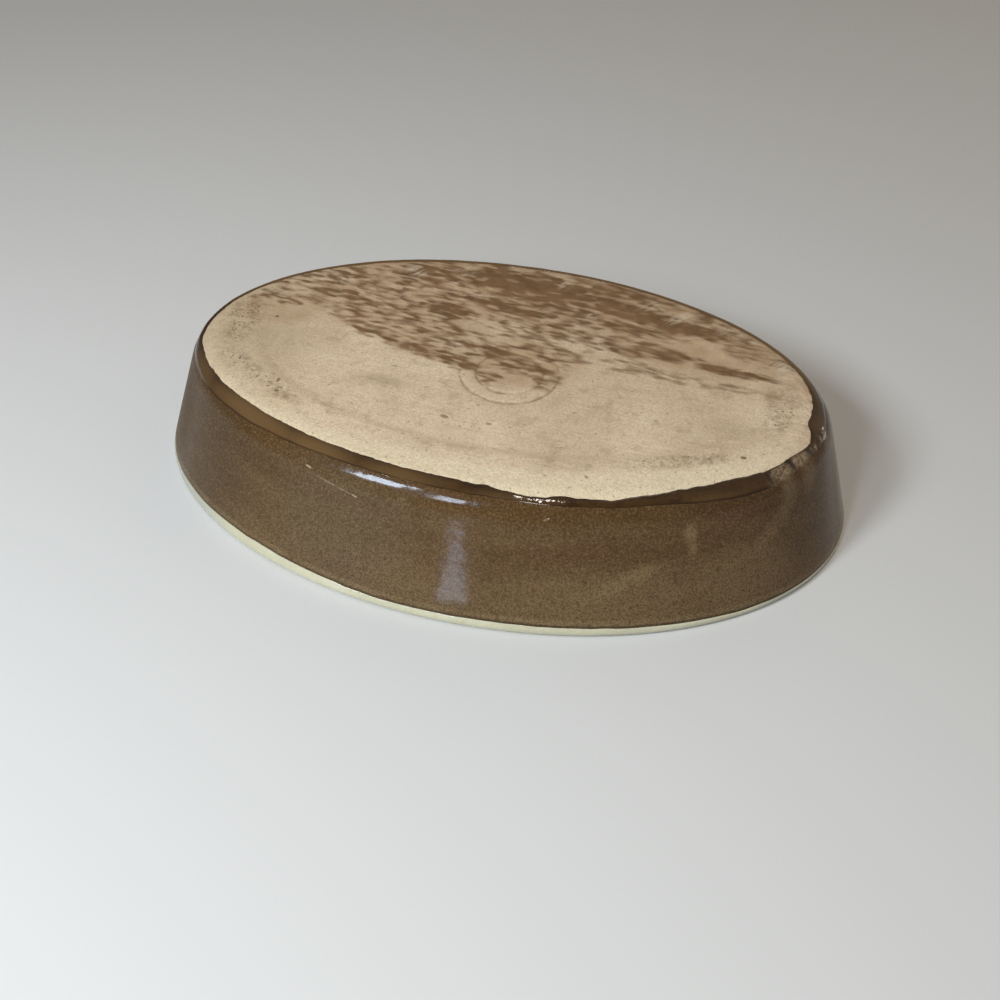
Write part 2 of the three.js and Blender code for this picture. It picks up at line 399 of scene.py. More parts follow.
# The brown wall
WALL_WAVES = [(0.035, 4), (0.14, 34)]  # the fine unevenness of the glaze, and slow waves in the wall
WHOLE_BEFORE = 0.4  # the coat has its full thickness this far before the roll's edge
LAP_FADE = 1.2  # the distance over which the brown thins out towards the cream
LAP_THIN = 0.45  # the share of its thickness that it keeps there
NICK = (285.3, 13.7)  # a small nick under the roll, as (angle, distance)
NICK_SIZE = (1.6, 0.8)
NICK_DEPTH = 0.4
LAP_DRIFT_FROM = 44  # past this distance the wall's colours follow the lap of the cream
LAP_DRIFT = 12  # the distance over which they come to do so


def spot(angle, distance, rows, size):
    """1 over the inner half of an oval spot of the outside, falling to 0 at its edge."""
    along = degrees_from(angle) * MM_PER_DEGREE / size[0]
    across = (rows - distance) / size[1]
    return smooth(2 * (1 - np.hypot(along, across)))


def build_wall():
    """The brown coat, from under the roll to the lap of the cream."""
    start = roll_edge - ROLL_TUCK
    rows = start + (lap_line - start) * shares(76)
    plain = rings(outside, rows)
    rising = smooth((rows - start) / (ROLL_TUCK - WHOLE_BEFORE))
    falling = smooth((lap_line - rows) / LAP_FADE)
    lift = THIN_EDGE + (COAT - THIN_EDGE) * rising * (LAP_THIN + (1 - LAP_THIN) * falling)
    lift = lift + relief(plain, WALL_WAVES) * falling - NICK_DEPTH * spot(*NICK, rows, NICK_SIZE)
    seat = start + (lap_line - start) * shares(9)
    face = rings(outside, rows, lift)
    reach = rows + (LAP - lap_line) * smooth((rows - LAP_DRIFT_FROM) / LAP_DRIFT)
    return make_band(
        "brown_glaze_wall", face, rings(outside, seat, -SUNK), reach, "brown_wall_glaze"
    )


# Lumps of crawled glaze on the roll, as (angle, distance, half length, half width, height)
LUMPS = [
    (331.4, 6.8, 2.6, 2.0, 0.5), (334.0, 6.4, 2.4, 1.8, 0.55), (332.2, 9.0, 2.6, 2.2, 0.42),
    (334.6, 8.6, 2.0, 2.0, 0.4), (338.8, 6.6, 2.4, 1.8, 0.5), (341.4, 6.4, 2.6, 1.8, 0.5),
    (339.6, 8.8, 2.4, 2.2, 0.42), (342.2, 8.4, 2.2, 2.0, 0.42), (346.8, 8.6, 1.6, 2.4, 0.35),
    (350.4, 9.0, 2.2, 3.2, 0.5), (353.6, 8.4, 2.0, 3.0, 0.4),
]
POOL = (312, 8.5, 14, 3, 0.25)  # a thicker stretch of the roll, in the same terms
LUMP_FADE = 6  # how steeply the lumps and the pool rise from the roll's two edges
ROLL_WAVES = [(0.03, 7)]
ROLL_RISE = 1.0  # the distance over which the roll rises from the clay
ROLL_FALL = 2.2  # the distance over which it falls to its far edge
DIP_WIDTH = 0.7  # of the dip at its far edge


def build_roll():
    """The thick glaze round the foot, with its lumps."""
    across = shares(30)
    rows = glaze_line + (roll_edge - glaze_line) * across
    plain = rings(outside, rows)
    rise = smooth((rows - glaze_line) / ROLL_RISE)
    fall = smooth((roll_edge - rows) / ROLL_FALL)
    height = round_the_dish(ROLL_HEIGHT_MARKS, blur=6)
    lift = THIN_EDGE + (COAT - THIN_EDGE) * rise + height * rise * fall
    lift = lift + (relief(plain, ROLL_WAVES) + relief(plain, WALL_WAVES)) * rise
    lift = lift - EDGE_DIP * smooth(1 - (roll_edge - rows) / DIP_WIDTH)
    off_edges = smooth(LUMP_FADE * across * (1 - across))
    for angle, distance, half_length, half_width, lump in [*LUMPS, POOL]:
        lift = lift + lump * spot(angle, distance, rows, (half_length, half_width)) * off_edges
    points, facing = outside(rows)
    room = (points[1] - FOOT_CLEARANCE) / -facing[1]
    lift = np.minimum(lift, np.maximum(room, THIN_EDGE))
    seat = glaze_line + (roll_edge - glaze_line) * shares(8)
    face = rings(outside, rows, lift)
    piece = make_band(
        "foot_roll", face, rings(outside, seat, -SUNK), rows, "foot_glaze_roll"
    )
    values = np.concatenate([np.repeat(across, SEGMENTS, 1), np.ones((len(seat), SEGMENTS))])
    piece.data.attributes.new("across", "FLOAT", "POINT").data.foreach_set("value", values.ravel())
    return piece


# The cream glaze
LAP_EDGE = 0.3  # its thickness where it laps over the brown
LAP_RISE = 0.8  # the distance over which it gets its full thickness
LINING_WAVES = [(0.1, 30), (0.03, 5)]
FLOOR_WAVES = [(0.12, 36), (0.03, 6)]
FLOOR_FADE = 0.25  # the share of the floor's radius over which its waves fade out towards its edge


def build_rim():
    """The cream coat from its lap on the outside wall, over the crest of the lip, to the inside wall."""
    top = CORNER_LENGTH + (WALL_TOP[1] - outside(CORNER_LENGTH)[0][1]) / math.cos(OUTER_FLARE)
    rows = lap_line + (top - lap_line) * shares(8)[:-1]
    lift = LAP_EDGE + (COAT - LAP_EDGE) * smooth((rows - lap_line) / LAP_RISE)
    face = [rings(outside, rows, lift), rings(outer_lip, shares(12), COAT)]
    face += [rings(inner_lip, shares(12), COAT)]
    seat = [rings(outside, rows[::3], -SUNK), rings(outer_lip, shares(4), -SUNK)]
    seat += [rings(inner_lip, shares(4), -SUNK)]
    face, seat = np.concatenate(face), np.concatenate(seat)
    reach = np.full(face.shape[:2], LAP)
    reach[: len(rows)] = rows
    return make_band("cream_rim", face, seat, reach, "cream_rim_glaze")


def build_lining():
    """The cream coat of the inside: the floor, the cove and the inside wall."""
    cove_rows = rings(cove, shares(22, 1, 0), COAT)
    wall_rows = rings(inside, shares(40, 1, 0), COAT)
    face = np.concatenate([cove_rows, wall_rows[1:]])
    face[1:-1, :, 2] += relief(face[1:-1], LINING_WAVES)
    grid = disc(COVE_OUT, HEIGHT - FLOOR_THICKNESS - COAT)
    off_edge = smooth((1 - np.hypot(DISC_X, DISC_Y)) / FLOOR_FADE)
    grid[..., 2] += off_edge * relief(grid, FLOOR_WAVES)
    seat = [rings(inside, shares(5), -SUNK), rings(cove, shares(9)[1:], -SUNK)]
    layers = np.concatenate([face[1:], *seat])
    reach = np.full(layers.shape[:2], LAP)
    return make_capped("cream_lining", grid, layers, reach, "cream_lining_glaze")


body = build_body()
wall = build_wall()
roll = build_roll()
rim = build_rim()
lining = build_lining()


# Materials
MIX_FACTOR, MIX_A, MIX_B, MIX_COLOUR = 0, 6, 7, 2  # the sockets of a node that mixes colours
PATCH_DEPTH = 14  # how far a mark of the wall reaches out of it and into it


def srgb(red, green, blue):
    """A colour as seen on a screen, 0 to 255, as the shader takes it."""
    parts = [value / 255 for value in (red, green, blue)]
    return (*[p / 12.92 if p <= 0.04045 else ((p + 0.055) / 1.055) ** 2.4 for p in parts], 1.0)


class Material:
    """One material's nodes. Each method adds nodes and gives back an output to use further on."""

    def __init__(self, name):
        self.material = bpy.data.materials.new(name)
        self.material.use_nodes = True
        self.tree = self.material.node_tree
        self.shader = self.tree.nodes["Principled BSDF"]
        place = self.tree.nodes.new("ShaderNodeTexCoord").outputs["Object"]
        self.mm = self.add("ShaderNodeVectorMath", {0: place, "Scale": 1 / MM}, operation="SCALE")

    def put(self, value, socket):
        if isinstance(value, bpy.types.NodeSocket):
            self.tree.links.new(value, socket)
        else:
            socket.default_value = value

    def add(self, kind, inputs, output=0, **settings):
        node = self.tree.nodes.new(kind)
        for key, value in settings.items():
            setattr(node, key, value)
        for socket, value in inputs.items():
            self.put(value, node.inputs[socket])
        return node.outputs[output]

    def math(self, operation, a, b=0.0):
        return self.add("ShaderNodeMath", {0: a, 1: b}, operation=operation)

    def chain(self, operation, values):
        result = values[0]
        for value in values[1:]:
            result = self.math(operation, result, value)
        return result

    def sum(self, *values):
        return self.chain("ADD", values)

    def product(self, *values):
        return self.chain("MULTIPLY", values)

    def largest(self, values):
        return self.chain("MAXIMUM", values)

    def swing(self, pattern, amount):
        """A pattern from 0 to 1, as a swing to either side of 0."""
        return self.math("MULTIPLY", self.math("SUBTRACT", pattern, 0.5), amount)

    def axis(self, letter):
        return self.add("ShaderNodeSeparateXYZ", {0: self.mm}, letter)

    def attribute(self, name):
        return self.add("ShaderNodeAttribute", {}, "Fac", attribute_name=name)

    def mapped(self, place, turn, size):
        """The position in millimetres, as seen from a place that is turned and stretched."""
        inputs = {"Vector": self.mm, "Location": place, "Rotation": turn, "Scale": size}
        return self.add("ShaderNodeMapping", inputs, vector_type="TEXTURE")

    def noise(self, size, detail=2.0, roughness=0.5, distortion=0.0, turn=0.0, offset=0.0):
        """Noise from 0 to 1. Size is the size of its features, one for all ways or one for each."""
        sizes = size if isinstance(size, tuple) else (size, size, size)
        vector = self.mapped((offset, offset, offset), (0, 0, math.radians(turn)), sizes)
        inputs = {"Vector": vector, "Scale": 1.0, "Detail": detail, "Roughness": roughness}
        return self.add("ShaderNodeTexNoise", {**inputs, "Distortion": distortion})

    def step(self, value, low, high, least=0.0, most=1.0):
        """Goes smoothly from least to most as the value goes from low to high."""
        inputs = {"Value": value, "From Min": low, "From Max": high, "To Min": least, "To Max": most}
        return self.add("ShaderNodeMapRange", inputs, interpolation_type="SMOOTHSTEP")

    def blend(self, factor, a, b):
        inputs = {MIX_FACTOR: factor, MIX_A: a, MIX_B: b}
        return self.add("ShaderNodeMix", inputs, MIX_COLOUR, data_type="RGBA")

    def length(self, vector):
        return self.add("ShaderNodeVectorMath", {0: vector}, "Value", operation="LENGTH")

    def oval(self, vector, strength, soft):
        """The unit ball at the given strength. Soft is the share of its radius over which it fades."""
        return self.step(self.length(vector), 1.0, 1.0 - soft, 0.0, strength)

    def base_patches(self, patches, soft=0.7):
        """Soft ovals on the base, as (x, y, half length, half width, turn in degrees, strength)."""
        ovals = []
        for x, y, half_length, half_width, turn, strength in patches:
            size = (half_length, half_width, HEIGHT)
            vector = self.mapped((x, y, HEIGHT), (0, 0, math.radians(turn)), size)
            ovals.append(self.oval(vector, strength, soft))
        return self.largest(ovals)

    def circle(self, centre, radius, width):
        """A soft line round a centre on the base."""
        vector = self.mapped((*centre, HEIGHT), (0, 0, 0), (1, 1, HEIGHT))
        off_line = self.math("SUBTRACT", self.length(vector), radius)
        return self.step(self.math("ABSOLUTE", off_line), width, 0.0)

    def wall_patches(self, patches, soft=0.7):
        """Soft ovals on the outside wall, as (angle, distance, half length, half width, turn, strength)."""
        ovals = []
        for angle, distance, half_length, half_width, turn, strength in patches:
            place, along, upwards, normal = wall_place(angle, distance)
            turned = Matrix.Rotation(math.radians(turn), 3, "Z")
            axes = Matrix((along, upwards, normal)).transposed() @ turned
            size = (half_length, half_width, PATCH_DEPTH)
            vector = self.mapped(place, axes.to_euler("XYZ"), size)
            ovals.append(self.oval(vector, strength, soft))
        return self.largest(ovals)

    def bump(self, height, distance, normal=None):
        """A bump of the given height in millimetres."""
        inputs = {"Height": height, "Distance": distance * MM, "Strength": 1.0}
        if normal is not None:
            inputs["Normal"] = normal
        return self.add("ShaderNodeBump", inputs)

    def finish(self, colour, roughness, normal, **shine):
        self.put(colour, self.shader.inputs["Base Color"])
        self.put(roughness, self.shader.inputs["Roughness"])
        self.put(normal, self.shader.inputs["Normal"])
        for socket, value in shine.items():
            self.shader.inputs[socket.replace("_", " ")].default_value = value
        return self.material


# Marks on the base, as (x, y, half length, half width, turn, strength)
WASH = [
    (-2, 61, 56, 19, -5, 1.15), (44, 54, 42, 10, -13, 1.1), (70, 47, 34, 8, -9, 1.05),
    (42, 67, 42, 10, -14, 0.8), (86, 54, 32, 13, -28, 0.62), (100, 38, 30, 15, -25, 0.45),
    (-48, 59, 38, 18, 14, 0.8), (-84, 41, 50, 26, 10, 0.64), (-60, 34, 60, 24, 0, 0.52),
    (-12, 45, 50, 11, -2, 0.8), (40, 42, 44, 9, -6, 0.68), (-35, 34, 21, 11, -6, 1.0),
    (92, 20.5, 28, 4.5, -7, 1.0), (62, 27, 26, 8, -10, 0.85), (46, 25, 20, 8, -14, 0.76),
    (16, 30, 50, 18, 0, 0.52), (-46, 18, 66, 18, -10, 0.52), (-104, 26, 26, 14, 25, 0.52),
    (14, 14, 38, 12, 0, 0.54), (18, 34, 9, 15, -20, 0.76), (20, 46, 28, 9, -4, 0.82),
    (-12, 10, 28, 12, -8, 0.64), (-62, 8.5, 15, 5.5, -8, 0.9), (-48, 4.5, 17, 5.5, -14, 0.85),
    (-34, 1.5, 17, 7, -14, 1.0), (-20, -3, 16, 7, -10, 0.9), (60, 12, 52, 8, -4, 0.42),
    (96, 9, 26, 6, -6, 0.34), (6, 2, 19, 11, 0, 0.72), (20, -4, 9, 15, -20, 0.48),
    (-6, -9, 13, 8, -30, 0.46),
]
THIN_WASH = [
    (0, 58, 124, 40, 0, 1.0), (72, 34, 60, 26, -8, 1.0), (-60, 26, 66, 22, -8, 0.9),
    (4, 4, 34, 24, 0, 0.9), (-104, 16, 26, 16, 20, 0.7), (112, 16, 18, 20, 0, 0.5),
    (-36, 4, 36, 10, -13, 0.8),
]
SCUFFS = [
    (-57, 60, 10, 6, -34, 0.8), (12, 67, 6, 6, 60, 0.6), (26, 47, 4, 1.6, 25, 0.9),
    (66, 54, 4, 11, -42, 0.8), (52, 60, 4, 10, -40, 0.5), (86, 50, 3, 9, -30, 0.5),
    (112, 29, 8, 6, -30, 0.7), (-36, 66, 14, 2.5, 0, 0.4),
]
DIRT = [
    (-117, 3, 11, 28, 8, 1.0), (-109, -26, 12, 8, -45, 0.9), (-84, -42, 18, 5, -28, 0.9),
    (80, -43, 36, 5.5, 21, 0.9), (114, -2, 9, 26, -8, 0.8), (-112, 26, 7, 12, -30, 0.7),
    (0, -56, 70, 6, 0, 0.2), (96, -26, 14, 7, 40, 0.4), (-96, -34, 16, 6, -36, 0.8),
]
DIRT_SPOTS = [
    (-104, 8, 1.1, 0.8, 20, 1.0), (102, -35, 1.6, 1.1, 0, 1.0), (-15, -40, 2.4, 1.3, -15, 0.8),
    (3, -40, 1.6, 1.0, 0, 0.7), (46, -62, 1.2, 0.8, -40, 0.7), (-84, -43, 1.4, 1.1, 0, 1.0),
    (-86, -36, 1.0, 2.2, 0, 0.8), (34, -24, 0.9, 0.6, 30, 0.6), (70, -14, 0.9, 0.6, 0, 0.5),
]
# Stains on the base; the large first patch over the left end is painted shade, the clay darkened as if less
# light fell there
STAINS_AND_SHADE = [
    (-108, -10, 46, 50, 0, 1.0), (-46, -24, 16, 6, 0, 1.0), (-88, 2, 18, 9, 0, 0.7),
    (92, -18, 16, 9, 30, 0.7), (26, -18, 12, 6, 60, 0.6),
]


def clay_material():
    """Bare stoneware: pale grainy clay with wiped-on brown wash, chalky scuffs and dirt in its pores."""
    m = Material("bare_clay_finish")
    grain = m.noise(0.8, detail=4.0, roughness=0.65)
    cloud = m.noise(34, detail=3.0, roughness=0.55)
    mottle = m.noise(7, detail=4.0, roughness=0.6)
    wiped = m.noise((26, 1.1, 26), detail=3.0, roughness=0.6, distortion=0.2, turn=-4)
    colour = m.blend(m.step(cloud, 0.35, 0.65), srgb(211, 188, 157), srgb(224, 202, 172))
    colour = m.blend(m.step(mottle, 0.5, 0.72, 0.0, 0.5), colour, srgb(172, 151, 121))
    colour = m.blend(m.step(wiped, 0.5, 0.75, 0.0, 0.35), colour, srgb(170, 149, 118))
    # Stains, and painted shade over the left end of the base
    colour = m.blend(m.product(m.base_patches(STAINS_AND_SHADE, soft=0.9), 0.45), colour, srgb(160, 142, 114))
    reach = m.attribute("reach")
    ring_edge = m.sum(reach, m.swing(mottle, 9.0), m.step(m.axis("X"), -75, -20, -5.5, 0.0))
    near_side = m.product(m.step(m.axis("Y"), -14, -46), m.step(m.axis("X"), -115, -60, 0.2, 1.0))
    ring = m.product(m.step(ring_edge, -11.0, -5.0), near_side, m.step(cloud, 0.2, 0.6, 0.7, 1.0))
    colour = m.blend(ring, colour, srgb(231, 213, 181))
    colour = m.blend(m.step(grain, 0.3, 0.7, 0.42, 0.0), colour, srgb(146, 122, 94))
    thin = m.product(m.base_patches(THIN_WASH, soft=0.5), m.step(mottle, 0.25, 0.6, 0.45, 0.75))
    colour = m.blend(thin, colour, srgb(170, 140, 109))

    dabs = m.noise((6.4, 2.4, 6.4), detail=0.6, roughness=0.4, distortion=0.3, turn=-6)
    strokes = m.noise((9, 1.3, 9), detail=3.0, roughness=0.6, distortion=0.4, turn=-7, offset=40)
    fine = m.noise((3.2, 1.2, 3.2), detail=3.0, roughness=0.65, distortion=0.2, turn=-6, offset=11)
    field = m.base_patches(WASH, soft=0.7)
    broken = m.sum(m.swing(dabs, 2.3), m.swing(strokes, 0.7), m.swing(fine, 0.5))
    calmer = m.step(m.axis("X"), -20, 60, 1.0, 0.72)
    covered = m.sum(field, m.product(broken, calmer, m.step(field, 0.02, 0.3)))
    brown = m.blend(m.step(mottle, 0.3, 0.7), srgb(105, 76, 50), srgb(124, 94, 66))
    colour = m.blend(m.step(covered, 0.03, 1.1, 0.0, 0.97), colour, brown)

    circles = m.largest([m.circle(MARK_CENTRE, radius, MARK_STAIN) for radius in MARK_RADII])
    mark = m.product(circles, m.step(mottle, 0.3, 0.6))
    colour = m.blend(m.product(mark, 0.6), colour, srgb(112, 85, 57))

    scratched = m.noise((1.3, 7, 7), detail=3.0, roughness=0.65, distortion=0.6, turn=-36)
    scuffs = m.product(m.base_patches(SCUFFS, soft=0.9), m.step(scratched, 0.38, 0.6))
    colour = m.blend(m.product(scuffs, 0.8), colour, srgb(206, 190, 166))

    smears = m.noise(4.5, detail=6.0, roughness=0.75, distortion=0.3, offset=70)
    smudge = m.step(smears, 0.42, 0.68, 0.0, 0.75)
    pores = m.largest([smudge, m.step(m.noise(1.5, detail=3.0, roughness=0.6, offset=71), 0.58, 0.66)])
    dirt = m.largest([m.product(m.base_patches(DIRT), pores), m.base_patches(DIRT_SPOTS, soft=0.5)])
    speckles = m.product(m.step(m.noise(1.8, offset=15), 0.66, 0.74), 0.5)
    colour = m.blend(m.product(m.largest([dirt, speckles]), 0.8), colour, srgb(98, 78, 54))

    bump = m.bump(m.noise(3.2, detail=3.0, roughness=0.6, offset=20), 0.12)
    bump = m.bump(wiped, 0.05, bump)
    bump = m.bump(grain, 0.08, bump)
    bump = m.bump(m.math("SUBTRACT", 1.0, m.largest([dirt, speckles])), 0.15, bump)
    roughness = m.step(covered, 0.3, 0.7, 0.94, 0.84)
    return m.finish(colour, roughness, bump, Specular_IOR_Level=0.12)


BLUE_SHINE = (0.7, 0.82, 1.0, 1.0)  # what the brown glaze mirrors looks a little bluer
# Marks on the brown wall, as (angle, distance, half length, half width, turn, strength)
RED_MARKS = [
    (318, 16, 18, 7, 0, 1.0), (289, 27, 30, 8, 0, 0.4), (306, 38, 16, 10, 20, 1.0),
    (306, 50, 14, 6, 0, 0.9), (325, 51, 14, 7, 0, 0.7), (325, 30, 16, 8, 30, 0.5),
    (90, 34, 60, 10, 0, 0.6), (30, 40, 30, 9, 8, 0.6), (150, 26, 36, 8, -6, 0.6),
]
OLIVE_MARKS = [
    (253, 14, 30, 6, 0, 1.0), (250, 34, 50, 16, 0, 0.6), (295, 55, 60, 5, 0, 0.7),
    (60, 20, 50, 9, 4, 0.7), (120, 44, 46, 10, 0, 0.6),
]
PALE_MARKS = [
    (309.5, 21, 4, 6, 0, 1.7), (309.8, 28, 2.6, 5, 0, 1.3), (297, 40, 26, 4.5, 27, 1.4),
    (291, 45, 9, 4, 0, 0.8), (329, 26, 22, 5.5, 38, 1.1), (332.5, 16, 6, 7, 0, 0.9),
    (340.5, 17, 8, 9, -20, 0.8), (244, 46.5, 2, 2.4, 0, 0.8), (261, 46, 1.6, 1.8, 0, 0.8),
    (262, 15, 3, 4, 0, 0.5), (80, 30, 22, 4, 24, 0.7), (140, 40, 20, 4, -18, 0.6),
    (20, 22, 16, 5, 30, 0.6),
]
SHADED_MARKS = [
    (214, 34, 62, 60, 0, 1.2), (344, 34, 34, 60, 0, 0.3), (318, 11.5, 28, 6, 0, 1.0),
    (330, 22, 14, 12, 0, 0.6),
]
# Lighter stretches of the lower wall: partly the glaze's own paler colour, partly painted light where the
# floor lights the wall from below
PALE_AND_BOUNCE_MARKS = [(296, 46, 60, 20, 0, 1.0), (319, 44, 34, 20, 0, 1.2), (262, 48, 30, 14, 0, 0.6)]
GREY_MARKS = [(252, 30, 44, 46, 0, 1.0), (258, 12, 24, 6, 0, 0.8)]
MATTE_MARKS = [(195, 34, 44, 60, 0, 1.0)]
SCRATCHES = [
    (244.3, 13.7, 2.4, 0.5, -8, 1.0), (249.8, 17.1, 11, 0.42, -8.5, 0.45),
    (253.8, 18.6, 1.8, 0.4, -14, 1.0), (285.3, 13.6, 1.5, 0.45, 32, 1.0),
    (284.9, 13.9, 0.6, 0.6, 0, 0.8), (97, 30, 3, 0.3, 10, 0.8),
]
# Where the glaze has crawled into pale folds: the patch, its heaps, the trails below and the dark gaps,
# which are partly dark glaze and partly painted shade in the creases between the heaps
CRAWLED_PATCH = [(337, 9.5, 17, 9, 0, 1.0)]
HEAPS = [(332.9, 7.6, 5.4, 4.2, -12, 1.0), (340.4, 7.4, 5.2, 4.2, -12, 1.0)]
TRAILS = [(333.4, 14, 5.5, 9, 0, 1.0), (341, 13.5, 6.5, 10, 0, 1.0)]
SHADED_GAPS = [
    (336.7, 7.2, 1.1, 4.2, 14, 1.0), (344.6, 7.6, 1.3, 4.0, 10, 0.8), (328.9, 8.0, 1.2, 3.6, 12, 0.8),
]


def wall_material():
    """Brown glaze, finely mottled, with slow drifts of red and olive, pale smudges and a few scratches."""
    m = Material("brown_glaze_finish")
    reach = m.attribute("reach")
    grain = m.noise(0.75, roughness=0.6)
    speck = m.noise(1.7, roughness=0.55, offset=33)
    drift = m.noise((46, 46, 9), detail=3.0, roughness=0.55, distortion=0.6)
    tint = m.noise((18, 18, 10), detail=4.0, roughness=0.6, distortion=0.4, offset=60)
    colour = m.blend(m.step(drift, 0.3, 0.7), srgb(88, 65, 39), srgb(99, 77, 50))
    colour = m.blend(m.product(m.wall_patches(OLIVE_MARKS), 0.7), colour, srgb(98, 80, 46))
    red = m.product(m.wall_patches(RED_MARKS), m.step(tint, 0.3, 0.62, 0.5, 1.0))
    colour = m.blend(m.product(red, 0.6), colour, srgb(102, 70, 51))
    pale = m.product(m.wall_patches(PALE_MARKS), m.step(tint, 0.25, 0.6, 0.4, 1.0))
    colour = m.blend(m.product(pale, 0.55), colour, srgb(132, 108, 76))
    colour = m.blend(m.step(reach, 19, 11, 0.0, 0.5), colour, srgb(78, 54, 27))
    # Lighter towards the lap and in the listed marks: partly the glaze's own colour, partly painted light
    # from the floor below
    colour = m.blend(m.step(reach, 22, LAP, 0.0, 0.4), colour, srgb(118, 96, 66))
    colour = m.blend(m.product(m.wall_patches(PALE_AND_BOUNCE_MARKS), 0.5), colour, srgb(122, 99, 69))
    colour = m.blend(m.product(m.wall_patches(SHADED_MARKS), 0.4), colour, srgb(66, 50, 32))
    colour = m.blend(m.product(m.wall_patches(GREY_MARKS), 0.2), colour, srgb(98, 90, 80))
    above_lap = m.product(m.step(reach, LAP - 4.2, LAP - 2.6), m.step(tint, 0.3, 0.6, 0.2, 0.45))
    colour = m.blend(above_lap, colour, srgb(140, 120, 88))
    colour = m.blend(m.step(reach, LAP - 1.6, LAP - 0.7, 0.0, 0.75), colour, srgb(64, 46, 26))
    colour = m.blend(m.step(grain, 0.34, 0.6, 0.5, 0.0), colour, srgb(54, 36, 18))
    colour = m.blend(m.step(grain, 0.5, 0.72, 0.0, 0.36), colour, srgb(128, 106, 78))
    colour = m.blend(m.step(speck, 0.56, 0.72, 0.0, 0.45), colour, srgb(62, 42, 22))
    heaps = m.product(m.wall_patches(HEAPS, soft=0.5), m.step(speck, 0.3, 0.5))
    colour = m.blend(m.product(heaps, 0.8), colour, srgb(138, 115, 86))
    threads = m.noise((1.4, 1.4, 9), detail=3.0, roughness=0.6, distortion=0.3, offset=52)
    runs = m.step(threads, 0.35, 0.6, 0.3, 1.0)
    colour = m.blend(m.product(m.wall_patches(TRAILS, soft=0.8), runs, 0.8), colour, srgb(116, 97, 74))
    # The gaps between the heaps: dark glaze, deepened with painted shade
    colour = m.blend(m.product(m.wall_patches(SHADED_GAPS), 0.7), colour, srgb(34, 21, 11))
    scratches = m.product(m.wall_patches(SCRATCHES, soft=0.6), m.step(speck, 0.38, 0.52, 0.15, 1.0))
    colour = m.blend(m.product(scratches, 0.65), colour, srgb(184, 166, 142))
    bump = m.bump(m.noise(4.5, offset=12), 0.015)
    bump = m.bump(m.noise((14, 14, 0.7), offset=44), 0.008, bump)
    bump = m.bump(grain, 0.008, bump)
    matte = m.product(m.wall_patches(MATTE_MARKS), 0.35)
    roughness = m.sum(m.step(speck, 0.3, 0.7, 0.08, 0.17), m.product(pale, 0.12), matte)
    m.put(m.step(reach, 17.5, 12.5, 0.0, 0.14), m.shader.inputs["Coat Weight"])
    shine = {"Specular_IOR_Level": 0.13, "Specular_Tint": BLUE_SHINE, "Coat_Roughness": 0.05}
    return m.finish(colour, roughness, bump, **shine)


# Where the roll is lighter, in the same terms: partly the glaze's own lighter brown, partly painted light
# where the bright room shows in it
PALE_AND_LIT_ROLL = [
    (205, 9, 24, 9, 0, 0.6), (228, 6, 46, 9, 0, 1.0), (244, 6.5, 30, 9, 0, 1.0),
    (260, 6.5, 30, 7, 0, 0.8), (278, 7.5, 26, 4, 0, 0.5), (314, 10, 26, 3.5, 0, 0.45),
    (356, 8, 16, 9, 0, 0.25),
]
# A stretch where the glaze has set in small ripples that catch the light
RIPPLED = [(285.5, 7.4, 14, 2.4, 0, 1.0)]


def roll_material():
    """The thick glaze round the foot: dark, glossy and clear, with pale crawled lumps."""
    m = Material("foot_roll_finish")
    across = m.attribute("across")
    pool = m.noise((12, 12, 5), detail=3.0, roughness=0.55, distortion=0.5)
    grain = m.noise(0.8, roughness=0.6)
    colour = m.blend(m.step(pool, 0.3, 0.7), srgb(46, 27, 9), srgb(66, 43, 18))
    colour = m.blend(m.step(across, 0.5, 0.0, 0.0, 0.6), colour, srgb(34, 18, 6))
    # Lighter brown on the listed stretches, partly the glaze's colour and partly painted light; over the
    # far side it is painted light
    light = m.largest([m.wall_patches(PALE_AND_LIT_ROLL, soft=0.9), m.step(m.axis("Y"), 0, 40)])
    colour = m.blend(m.product(light, 0.9), colour, srgb(102, 77, 47))
    colour = m.blend(m.step(grain, 0.5, 0.75, 0.0, 0.25), colour, srgb(100, 73, 42))
    far_edge = m.product(m.step(across, 0.82, 0.92), m.step(across, 1.0, 0.97))
    colour = m.blend(m.product(far_edge, 0.7), colour, srgb(36, 21, 9))
    folds = m.noise((1.5, 1.5, 3.4), detail=4.0, roughness=0.65, distortion=0.8, offset=8)
    crawled = m.product(m.wall_patches(CRAWLED_PATCH, soft=0.3), m.step(across, 0.12, 0.4))
    folded = m.blend(m.step(folds, 0.35, 0.6), srgb(70, 51, 31), srgb(100, 79, 54))
    colour = m.blend(crawled, colour, folded)
    lumps = m.product(m.wall_patches(HEAPS, soft=0.4), m.step(across, 0.03, 0.14))
    lumps = m.product(lumps, m.step(folds, 0.38, 0.56, 0.1, 1.0))
    colour = m.blend(m.product(lumps, 0.95), colour, srgb(144, 121, 92))
    # The gaps between the heaps: dark glaze, deepened with painted shade
    colour = m.blend(m.product(m.wall_patches(SHADED_GAPS, soft=0.5), 0.9), colour, srgb(26, 15, 8))
    bump = m.bump(m.noise(3.0, offset=5), 0.02)
    bump = m.bump(m.product(m.largest([crawled, lumps]), folds), 0.6, bump)
    rippled = m.wall_patches(RIPPLED, soft=0.6)
    bump = m.bump(m.product(rippled, m.noise((2.4, 2.4, 1.6), detail=1.0, offset=63)), 0.14, bump)
    roughness = m.sum(m.step(pool, 0.3, 0.7, 0.05, 0.11), m.product(m.largest([crawled, lumps]), 0.35))
    return m.finish(colour, roughness, bump, Specular_IOR_Level=0.5)


# Where the cream is greyer, in the same terms: painted shade on two stretches of the rim
CREAM_PAINTED_SHADE = [(208, 61, 80, 30, 0, 1.0), (334, 61, 34, 30, 0, 0.7)]


